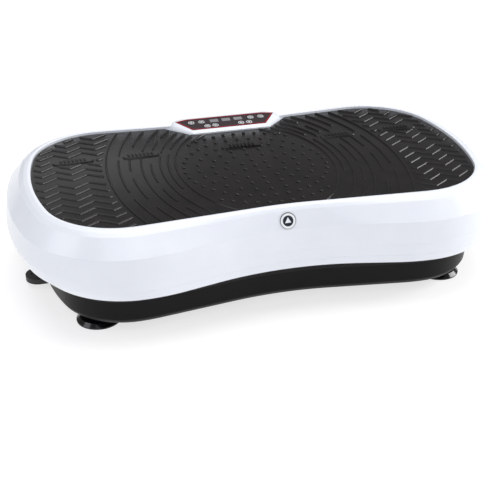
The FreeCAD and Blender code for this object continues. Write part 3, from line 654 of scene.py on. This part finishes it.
# ---------------------------------------------------------------- cover
@dataclass
class Cover:
    """The white moulded cover with its console."""

    panel_front: float = 136.0 * MM
    panel_height: float = 166.5 * MM
    panel_tilt: float = math.radians(6.67)
    console_radii: tuple[float, ...] = (11.0, 11.0, 14.0, 12.0, 12.0, 14.0)
    # From the inner roof down, round the hem, up the wall and the sloping band, and over the rim
    wall: Wall = Wall(
        ((76.0, 22.0, 5.0), (87.0, 6.5, -11.0), (103.0, -1.0, -18.5), (119.0, 0.0, -17.5), (135.3, 0.5, -16.8),
         (159.3, 0.0, -7.0), (163.6, 0.0, -4.0), (165.3, 0.0, -2.0), (165.7, 0.0, -1.0)),
        ((8.0, 155.5, 0), (14.5, 155.5, 2.0), (34.0, 133.6, 2.0), (36.5, 118.0, 0), (38.0, 103.0, 8.0),
         (32.0, 87.3, 4.0), (17.0, 76.1, 0.0), (19.8, 76.1, 0.7), (35.0, 87.0, 6.0), (41.0, 103.0, 9.0),
         (39.5, 119.0, 0), (37.0, 135.3, 2.2), (17.5, 159.3, 5.0), (11.0, 163.6, 7.0), (5.0, 165.5, 2.0),
         (0.4, 165.5, 0.9), (0.3, 158.6, 0), (-1.0, 158.5, 0)),
        blend=5.0)

    def build_shell(self) -> bpy.types.Object:
        """Loft the cover round the outline as one closed wall.

        Returns:
            The cover.
        """
        shell = ring_loft("cover_shell", self.wall.rings())
        smooth(shell, 24.0)
        return dress(shell, "shell_white", "platform", replaces=("deck_shell",))

    def on_panel(self, u: float, v: float, n: float = 0.0) -> Vector:
        """Find a point of the tilted panel.

        Args:
            u: Distance across, from the middle.
            v: Distance up its slope, from the front edge.
            n: Distance out of its face.

        Returns:
            The place of the point.
        """
        tilt_cos, tilt_sin = math.cos(self.panel_tilt), math.sin(self.panel_tilt)
        return Vector((u, self.panel_front + v * tilt_cos - n * tilt_sin,
                       self.panel_height + v * tilt_sin + n * tilt_cos))

    def console_ring(self, right: tuple[Point, Point, Point], level: float, sloping: bool) -> list[Vector]:
        """A rounded six-sided ring of the console.

        Args:
            right: Its front, tip and back corner on the right, in millimetres.
            level: Its height, or how far it lies below the panel if it slopes, in millimetres.
            sloping: Whether it lies along the panel's slope.

        Returns:
            The ring's points.
        """
        front, tip, back = right
        around = [(-front[0], front[1]), front, tip, back, (-back[0], back[1]), (-tip[0], tip[1])]
        path = fillet([(x * MM, y * MM) for x, y in around], [radius * MM for radius in self.console_radii], 8)
        if not sloping:
            return [Vector((x, y, level * MM)) for x, y in path]
        return [self.on_panel(x, (y - self.panel_front) / math.cos(self.panel_tilt), -level * MM) for x, y in path]

    def build_console(self) -> bpy.types.Object:
        """Loft the raised white surround of the control panel.

        Returns:
            The console.
        """
        foot = ((64.0, 128.3), (104.0, 167.0), (78.0, 182.0))
        waist = ((64.0, 128.3), (101.5, 166.4), (76.5, 181.4))
        shoulder = ((64.2, 128.9), (97.5, 166.8), (74.5, 180.4))
        brow = ((64.4, 130.0), (93.0, 167.6), (71.5, 178.6))
        crown = ((64.2, 131.4), (91.0, 168.0), (70.0, 177.4))
        levels = [(foot, 128.0, False), (foot, 150.0, False), (waist, 163.4, False),
                  (shoulder, 1.9, True), (brow, 0.6, True), (crown, 0.0, True)]
        console = ring_loft("cover_console", [self.console_ring(*level) for level in levels])
        smooth(console, 50.0)
        return dress(console, "shell_white", "platform")


# ---------------------------------------------------------------- standing mat
@dataclass(frozen=True)
class Arc:
    """One curved rib of the mat: its half-width across and where it is interrupted, in millimetres."""

    reach: float
    spans: tuple[Point, ...]


@dataclass(frozen=True)
class LevelMark:
    """A plain level gauge on the mat and the clear field round it, in millimetres."""

    centre: float
    half: float
    base: float
    field_half: float
    field_low: float
    field_high: float


FULL = (-200.0, 200.0)


@dataclass
class StandingMat:
    """The rubber mat: a sheet with domes, curved ribs and zigzag ribs."""

    underside: float = 158.6 * MM
    top: float = 161.9 * MM
    rib_top: float = 163.6 * MM
    gap: float = 0.4 * MM
    notch_y: float = 127.3 * MM
    notch_half: float = 64.0 * MM
    centre_y: float = -14.6 * MM
    slenderness: float = 1.432
    dome_radius: float = 3.1 * MM
    dome_height: float = 2.2 * MM
    rib_foot: float = 3.2 * MM
    zigzag_foot: float = 4.2 * MM
    mark_foot: float = 3.8 * MM
    rib_slope: float = 0.9 * MM
    rib_rounding: float = 0.35 * MM
    sunk: float = 0.3 * MM
    notch_slope: Point = (48.0, 49.5)
    notch_spread: float = 0.4
    notch_step: float = 0.5 * MM
    notch_radius: float = 13 * MM
    notch_mouth_radius: float = 9 * MM
    # Distances that the domes and ribs keep from the mat's edge
    dome_margin: float = 5 * MM
    curve_margin: float = 2.5 * MM
    zigzag_margin: float = 3.2 * MM
    dome_reach: float = 111.0 * MM
    zigzag_reach: float = 225.5 * MM
    curve_start_x: float = 20 * MM
    shortest_rib: float = 5 * MM
    # Zigzags, in millimetres: corner places along X, their rise, and the rows' places along Y
    zigzag_x: tuple[float, ...] = (203.0, 226.0, 249.0, 271.0, 293.0, 314.0, 336.0)
    zigzag_rise: float = 15.8
    zigzag_rows: tuple[Point, Point] = ((3.1, 21.4), (-24.8, -21.6))
    zigzag_row_count: int = 9
    # Narrowing of the zigzags towards the rear, for each metre
    fan: float = 0.15
    # The middle mark's mirror image lies on itself, so it stands a micrometre off the middle
    marks: tuple[LevelMark, ...] = (
        LevelMark(0.001, 32.0, 56.0, 38.0, 50.0, 77.0), LevelMark(159.0, 27.0, 60.0, 31.0, 57.0, 80.0),
        LevelMark(262.0, 30.0, 63.0, 34.0, 58.0, 84.0))
    arcs: tuple[Arc, ...] = (
        Arc(107.0, ((97.0, 200.0),)),
        Arc(117.7, (FULL,)),
        Arc(128.4, ((77.5, 200.0), (-70.4, 60.7))),
        Arc(140.3, (FULL,)),
        Arc(154.0, ((132.3, 200.0), (83.1, 120.3), (-39.7, 31.9), (-109.5, -57.4), (-200.0, -127.1))),
        Arc(168.0, ((83.1, 200.0), (-200.0, 57.9))),
        Arc(185.0, ((102.6, 200.0), (8.7, 56.1), (-91.8, -13.7), (-200.0, -115.0))),
        Arc(201.5, ((73.8, 200.0), (-61.1, 56.1), (-200.0, -81.6))),
        Arc(220.0, (FULL,)),
    )
    dome_rings: tuple[tuple[int, float], ...] = (
        (1, 0.0), (6, 21.2), (12, 44.8), (18, 64.5), (24, 85.8), (36, 107.2), (48, 130.0), (60, 151.3))

    def edge(self, margin: float) -> list[Point]:
        """The mat's outline with its cut-out for the console.

        Args:
            margin: How far it is moved inwards.

        Returns:
            The closed outline.
        """
        ring = OUTLINE.ring(-self.gap - margin)
        slope = Vector(self.notch_slope).normalized()
        foot = Vector((self.notch_half + margin * self.notch_spread, self.notch_y - margin))
        reach = (foot + slope * (step * self.notch_step) for step in range(1, 200))
        crossing = next(spot for spot in reach if not inside((spot.x, spot.y), ring))
        kept = [p for p in ring if not (p[1] > 0 and abs(p[0]) < crossing.x + 2 * self.notch_step)]
        start = next(i for i, p in enumerate(kept) if p[1] > 0 and p[0] < 0 and kept[i - 1][0] > 0)
        corners = [(-foot.x, foot.y), (-crossing.x, crossing.y)] + kept[start:] + kept[:start]
        corners += [(crossing.x, crossing.y), (foot.x, foot.y)]
        radii = [self.notch_radius, self.notch_mouth_radius] + [0.0] * len(kept)
        radii += [self.notch_mouth_radius, self.notch_radius]
        return fillet(corners, radii, 7)

    def build_sheet(self) -> bpy.types.Object:
        """Extrude the flat sheet and round its upper edge.

        Returns:
            The sheet.
        """
        path = self.edge(0.0)
        deselect()
        bpy.ops.mesh.primitive_circle_add(vertices=len(path), fill_type="NGON")
        sheet = take("mat_sheet")
        for vertex, (x, y) in zip(sheet.data.vertices, path):
            vertex.co = (x, y, self.underside)
        bpy.ops.object.mode_set(mode="EDIT")
        bpy.ops.mesh.select_all(action="SELECT")
        bpy.ops.mesh.extrude_region_move(TRANSFORM_OT_translate={"value": (0, 0, self.top - self.underside)})
        bpy.ops.mesh.bevel(offset=0.9 * MM, segments=3, affect="EDGES")
        bpy.ops.object.mode_set(mode="OBJECT")
        outward(sheet)
        smooth(sheet, 30.0)
        return sheet

    def clear_of_marks(self, x: float, y: float) -> bool:
        """Whether a point is outside the level marks' fields.

        Args:
            x: Place along the mat.
            y: Place across the mat.

        Returns:
            True if no field holds it.
        """
        return not any(abs(abs(x) / MM - mark.centre) < mark.field_half
                       and mark.field_low < y / MM < mark.field_high for mark in self.marks)

    def in_arc(self, x: float, y: float, reach: float) -> float:
        """How far out a point is, as a share of the curve with that reach; one lies on it."""
        return math.hypot(x / reach, (y - self.centre_y) / (reach * self.slenderness))

    def dome_places(self) -> list[tuple[float, float, float]]:
        """Find the domes' places, in rings round the middle, inside the innermost full curve.

        Returns:
            The places.
        """
        border = self.edge(self.dome_margin)
        places = []
        for count, radius in self.dome_rings:
            for step in range(count):
                angle = math.radians(90 + 360 * step / count)
                x = radius * MM * math.cos(angle)
                y = self.centre_y + radius * MM * math.sin(angle)
                if inside((x, y), border) and self.in_arc(x, y, self.dome_reach) < 1 and self.clear_of_marks(x, y):
                    places.append((x, y, self.top))
        return places

    def build_domes(self) -> bpy.types.Object:
        """Model one small massaging dome and copy it over the middle zone.

        Returns:
            All the domes in one piece.
        """
        deselect()
        bpy.ops.mesh.primitive_uv_sphere_add(segments=14, ring_count=8, radius=1.0)
        dome = take("dome")
        dome.scale = (self.dome_radius, self.dome_radius, self.dome_height)
        apply_place(dome)
        bpy.ops.object.mode_set(mode="EDIT")
        bpy.ops.mesh.select_all(action="SELECT")
        bpy.ops.mesh.bisect(plane_co=(0, 0, -self.sunk), plane_no=(0, 0, -1), clear_outer=True, use_fill=True)
        bpy.ops.object.mode_set(mode="OBJECT")
        outward(dome)
        domes = copies("mat_domes", dome, self.dome_places())
        smooth(domes, 40.0)
        return domes

    def runs(self, path: list[Point], keep: list[bool], corners: list[bool]) -> list[list[Point]]:
        """Split a finely divided path into the stretches that are kept.

        Args:
            path: The path's points.
            keep: Whether each point is kept.
            corners: Whether each point is a corner; between its ends a stretch has only these.

        Returns:
            The stretches that are long enough for a rib.
        """
        runs: list[list[Point]] = []
        current: list[Point] = []
        for i, point in enumerate(path):
            if keep[i]:
                ends = not current or i == len(path) - 1 or not keep[i + 1]
                if ends or corners[i]:
                    current.append(point)
            elif current:
                runs.append(current)
                current = []
        if current:
            runs.append(current)
        return [run for run in runs if len(run) > 1 and math.dist(run[0], run[-1]) > self.shortest_rib]

    def ribs(self, name: str, paths: list[list[Point]], foot: float) -> bpy.types.Object:
        """Raise ribs along the paths of one half and along their mirror images.

        Args:
            name: Name of the piece.
            paths: The ribs' centre lines.
            foot: Width of a rib's foot.

        Returns:
            All the ribs in one piece.
        """
        strips = [flat_strip([(side * x, y) for x, y in path], foot, self.top - self.sunk)
                  for path in paths for side in (1, -1)]
        return raise_ribs(name, strips, self.sunk, self.rib_slope, self.rib_top - self.top, self.rib_rounding)

    def build_curves(self) -> bpy.types.Object:
        """Raise the curved ribs between the domes and the zigzags.

        Returns:
            The ribs in one piece.
        """
        border = self.edge(self.curve_margin)
        paths = []
        for arc in self.arcs:
            reach = arc.reach * MM
            line = [(reach * math.cos(angle), self.centre_y + reach * self.slenderness * math.sin(angle))
                    for angle in (math.radians(-90 + step) for step in range(181))]
            for low, high in arc.spans:
                keep = [low * MM < y < high * MM and x > self.curve_start_x and inside((x, y), border)
                        and self.clear_of_marks(x, y) for x, y in line]
                paths += self.runs(line, keep, [step % 2 == 0 for step in range(len(line))])
        return self.ribs("mat_curves", paths, self.rib_foot)

    def zigzag(self, low_y: float) -> tuple[list[Point], list[bool]]:
        """Draw one zigzag row of the right end, finely divided.

        Args:
            low_y: Where its front corners lie, in millimetres.

        Returns:
            The row's points, and whether each is a corner.
        """
        stations = [(x, self.zigzag_rise * (i % 2 == 0)) for i, x in enumerate(self.zigzag_x)]
        path: list[Point] = []
        corners: list[bool] = []
        for (x0, y0), (x1, y1) in zip(stations, stations[1:]):
            for step in range(12):
                share = step / 12
                x, y = x0 + (x1 - x0) * share, low_y + y0 + (y1 - y0) * share
                path.append((x * (1 - self.fan * y * MM) * MM, y * MM))
                corners.append(step == 0)
        return path, corners

    def build_zigzags(self) -> bpy.types.Object:
        """Raise the zigzag ribs of both ends.

        Returns:
            The ribs in one piece.
        """
        border = self.edge(self.zigzag_margin)
        paths = []
        for low_y in [first + pitch * k for first, pitch in self.zigzag_rows for k in range(self.zigzag_row_count)]:
            line, corners = self.zigzag(low_y)
            keep = [inside(p, border) and self.in_arc(p[0], p[1], self.zigzag_reach) > 1
                    and self.clear_of_marks(*p) for p in line]
            paths += self.runs(line, keep, corners)
        return self.ribs("mat_zigzags", paths, self.zigzag_foot)

    def build_marks(self) -> bpy.types.Object:
        """Raise the plain level gauges: a bracket with a row of upright bars over it.

        Returns:
            The gauges in one piece.
        """
        paths = []
        for mark in self.marks:
            left, right, base = mark.centre - mark.half, mark.centre + mark.half, mark.base
            bracket = [(left, base + 7), (left + 1, base + 2), (left + 5, base),
                       (right - 5, base), (right - 1, base + 2), (right, base + 7)]
            bars = [[(mark.centre + x, base + 5), (mark.centre + x, base + 15)] for x in range(-18, 19, 6)]
            paths += [[(x * MM, y * MM) for x, y in path] for path in [bracket] + bars]
        return self.ribs("mat_marks", paths, self.mark_foot)

    def build(self) -> None:
        """Build the whole mat."""
        dress(self.build_sheet(), "mat_rubber", "platform", replaces=("deck_mat",))
        for piece in (self.build_domes(), self.build_curves(), self.build_zigzags(), self.build_marks()):
            dress(piece, "mat_rubber", "platform")


# ---------------------------------------------------------------- base
@dataclass
class Base:
    """The black lower tray."""

    wall: Wall = Wall(
        ((18.0, 12.0, 2.0), (20.5, 12.5, 2.5), (26.0, 12.7, 2.8), (56.0, 14.0, 3.0), (78.0, 21.0, 5.0),
         (92.0, 22.0, 5.0)),
        ((-24.0, 18.0, 0), (-10.0, 18.0, 5.0), (-4.7, 26.0, 6.0), (-2.5, 56.0, 5.0), (6.0, 78.0, 6.0),
         (7.5, 92.0, 0.4), (4.4, 92.0, 0.4), (3.0, 79.5, 6.0), (-5.5, 57.0, 5.0), (-7.5, 27.0, 3.0),
         (-12.5, 21.0, 2.0), (-24.0, 21.0, 0)))
    cutter_depth: float = 30 * MM

    def build_tray(self) -> bpy.types.Object:
        """Loft the tray with a rounded lower edge, and open it for the mains entry.

        Returns:
            The tray.
        """
        tray = ring_loft("base_tray_shell", self.wall.rings())
        low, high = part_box("inlet_plate")
        deselect()
        bpy.ops.mesh.primitive_cube_add(size=1.0, location=(low + high) / 2)
        cutter = take("entry_cutter")
        cutter.scale = (high.x - low.x, self.cutter_depth, high.z - low.z)
        apply_place(cutter)
        apply_modifier(tray, "BOOLEAN", object=cutter, operation="DIFFERENCE", solver="EXACT")
        bpy.data.objects.remove(cutter)
        smooth(tray, 28.0)
        return dress(tray, "base_black", "base", replaces=("base_tray",))


# ---------------------------------------------------------------- badge
@dataclass
class Badge:
    """The round badge's printed ring and triangle."""

    radius: float = 11.5 * MM
    ink: float = 0.15 * MM
    ring_outer: float = 10.8 * MM
    ring_inner: float = 7.6 * MM
    peak_radius: float = 5.2 * MM
    # The band leans back by the run of its wall sections over their rise
    slant: float = math.atan2((37.0 - 16.8) - (17.5 - 7.0), 159.3 - 135.3)

    def build_peak(self) -> bpy.types.Object:
        """Extrude a plain triangle for the middle of the badge.

        Returns:
            The triangle, lying at the origin.
        """
        deselect()
        bpy.ops.mesh.primitive_circle_add(vertices=3, radius=self.peak_radius, fill_type="NGON")
        peak = take("badge_peak")
        bpy.ops.object.mode_set(mode="EDIT")
        bpy.ops.mesh.extrude_region_move(TRANSFORM_OT_translate={"value": (0, 0, self.ink)})
        bpy.ops.object.mode_set(mode="OBJECT")
        return peak

    def build(self) -> None:
        """Lay a pale ring and a pale triangle on the face of the badge."""
        low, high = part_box("badge")
        for piece in (flat_ring("badge_ring", self.ring_outer, self.ring_inner, self.ink), self.build_peak()):
            piece.rotation_euler.x = math.radians(90) - self.slant
            piece.location = (0, low.y + self.radius * math.sin(self.slant), (low.z + high.z) / 2)
            apply_place(piece)
            outward(piece)
            dress(piece, "icon_white", "platform")


# ---------------------------------------------------------------- panel
@dataclass
class Panel:
    """The control panel's red line and the symbols of its keys."""

    cover: Cover
    key_rise: float = 0.9 * MM
    ink: float = 0.12 * MM
    # Outer and inner radii of a key's ring and of its dot
    ring_radii: Point = (4.8 * MM, 3.9 * MM)
    dot_radii: Point = (1.9 * MM, 0.8 * MM)
    line_width: float = 2.8 * MM
    line_inset: float = 0.25 * MM
    line_seat: float = 0.15 * MM
    line_rise: float = 0.35 * MM
    # The panel's corners: across, and up its slope
    corners: tuple[Point, ...] = ((61.0, 0.0), (-61.0, 0.0), (-83.0, 32.6), (-64.0, 37.4), (64.0, 37.4),
                                  (83.0, 32.6))
    keys: dict[str, Point] = field(default_factory=lambda: {
        "button_power": (-58.5, 23.5), "button_mode": (-41.5, 23.5), "button_time_down": (-35.0, 8.5),
        "button_time_up": (-21.5, 8.5), "button_speed_down": (21.5, 8.5), "button_speed_up": (35.0, 8.5),
        "button_program": (41.5, 23.5), "button_start": (58.5, 23.5)})

    def printed_ring(self, name: str, u: float, v: float, outer: float, inner: float) -> bpy.types.Object:
        """Print a thin ring of ink on a key's face.

        Args:
            name: Name of the ring.
            u: The key's place across the panel.
            v: The key's place up the panel.
            outer: Outer radius.
            inner: Inner radius.

        Returns:
            The ring.
        """
        ring = flat_ring(name, outer, inner, self.ink)
        ring.location = self.cover.on_panel(u, v, self.key_rise)
        ring.rotation_euler.x = self.cover.panel_tilt
        apply_place(ring)
        outward(ring)
        return ring

    def build_outline(self) -> bpy.types.Object:
        """Extrude the red line round the panel's face.

        Returns:
            The line.
        """
        deselect()
        bpy.ops.mesh.primitive_circle_add(vertices=6, radius=0.1, fill_type="NGON")
        line = take("panel_outline")
        for vertex, (u, v) in zip(line.data.vertices, self.corners):
            vertex.co = (u * MM, v * MM, 0)
        bpy.ops.object.mode_set(mode="EDIT")
        bpy.ops.mesh.inset(thickness=self.line_inset)
        bpy.ops.mesh.select_all(action="INVERT")
        bpy.ops.mesh.delete(type="FACE")
        bpy.ops.mesh.select_all(action="SELECT")
        bpy.ops.mesh.inset(thickness=self.line_width)
        bpy.ops.mesh.delete(type="FACE")
        bpy.ops.mesh.select_all(action="SELECT")
        bpy.ops.mesh.extrude_region_move(TRANSFORM_OT_translate={"value": (0, 0, self.line_rise)})
        bpy.ops.object.mode_set(mode="OBJECT")
        line.location = self.cover.on_panel(0, 0, self.line_seat)
        line.rotation_euler.x = self.cover.panel_tilt
        apply_place(line)
        outward(line)
        return line

    def build(self) -> None:
        """Line the panel's edge, and put a pale ring and a simple sign on every key."""
        dress(self.build_outline(), "bezel_red", "platform")
        for name, (u, v) in self.keys.items():
            for part, radii in (("_ring", self.ring_radii), ("_dot", self.dot_radii)):
                ring = self.printed_ring(name + part, u * MM, v * MM, *radii)
                dress(ring, "icon_white", name)


# ---------------------------------------------------------------- studio
@dataclass(frozen=True)
class SoftBox:
    """One square soft light: its name, place, side, power and colour."""

    name: str
    place: tuple[float, float, float]
    side: float
    power: float
    colour: str = "ffffff"


@dataclass
class Studio:
    """Camera, floor and soft lights."""

    boxes: tuple[SoftBox, ...] = (
        SoftBox("top_box", (0.0, 0.1, 2.2), 2.2, 33.0),
        # Skims the mat, so that its ribs catch thin highlights
        SoftBox("right_box", (2.1, -0.24, 1.0), 1.1, 30.0),
        SoftBox("left_box", (-2.2, -0.3, 1.5), 1.2, 9.0, "f4f8ff"),
        SoftBox("back_box", (-0.3, 2.3, 1.2), 1.0, 1.4),
        SoftBox("front_box", (-0.5, -2.2, 1.8), 1.8, 14.0, "f2f6ff"))
    lit_point: Vector = field(default_factory=lambda: Vector((0, 0, 0.1)))
    surroundings: float = 0.22
    floor_side: float = 12.0
    camera_place: Vector = field(default_factory=lambda: Vector((-0.4062, -1.4119, 0.7963)))
    target: Vector = field(default_factory=lambda: Vector((-0.0075, -0.0125, 0.0175)))
    lens: float = 75.92
    roll: float = math.radians(0.19)

    def aim(self, piece: bpy.types.Object, target: Vector) -> None:
        """Turn a camera or light to face a point."""
        piece.rotation_euler = (target - piece.location).to_track_quat("-Z", "Y").to_euler()

    def light(self, box: SoftBox) -> None:
        """Add one soft box that faces the plate.

        Args:
            box: The light's values.
        """
        data = bpy.data.lights.new(box.name, "AREA")
        data.size = box.side
        data.energy = box.power
        data.color = linear(box.colour)[:3]
        lamp = bpy.data.objects.new(box.name, data)
        lamp.location = box.place
        bpy.context.scene.collection.objects.link(lamp)
        self.aim(lamp, self.lit_point)

    def lay_floor(self) -> None:
        """Lay the pale floor, which glows a little so that it stays white in the shade."""
        deselect()
        bpy.ops.mesh.primitive_plane_add(size=self.floor_side, location=(0, 0, 0))
        floor = take("floor")
        paper = Finish("pale_studio_paper", "b4b4b4", "b0b0b0", 0.9, Grain.POLISHED, 2.0, 0.02, specular=0.0,
                       glow=0.7)
        floor.data.materials.append(paper.build())

    def build(self) -> None:
        """Set up the floor, the surroundings, the lights and the camera."""
        self.lay_floor()
        world = bpy.context.scene.world or bpy.data.worlds.new("studio")
        bpy.context.scene.world = world
        world.use_nodes = True
        background = world.node_tree.nodes["Background"]
        background.inputs["Color"].default_value = linear("ffffff")
        background.inputs["Strength"].default_value = self.surroundings
        for box in self.boxes:
            self.light(box)
        data = bpy.data.cameras.new("camera")
        data.lens = self.lens
        data.sensor_width = 36.0
        data.clip_start = 0.01
        camera = bpy.data.objects.new("camera", data)
        camera.location = self.camera_place
        bpy.context.scene.collection.objects.link(camera)
        self.aim(camera, self.target)
        camera.rotation_euler.rotate_axis("Z", self.roll)
        bpy.context.scene.camera = camera
        bpy.context.scene.view_settings.view_transform = "Standard"


def dress_cad_nodes() -> None:
    """Give every CAD node that stays visible the material of its slot."""
    slots = {part["node"]: part["material_slot"] for part in frame["record"]["subparts"]}
    for name, piece in frame["nodes"].items():
        piece.data.materials.clear()
        piece.data.materials.append(MATERIALS[slots[name]])


def main() -> None:
    """Build the plate's looks in order."""
    logging.basicConfig(level=logging.INFO, format="%(name)s: %(message)s")
    dress_cad_nodes()
    Studio().build()
    cover = Cover()
    cover.build_shell()
    cover.build_console()
    StandingMat().build()
    Base().build_tray()
    Panel(cover).build()
    Badge().build()


if __name__ == "__main__":
    main()
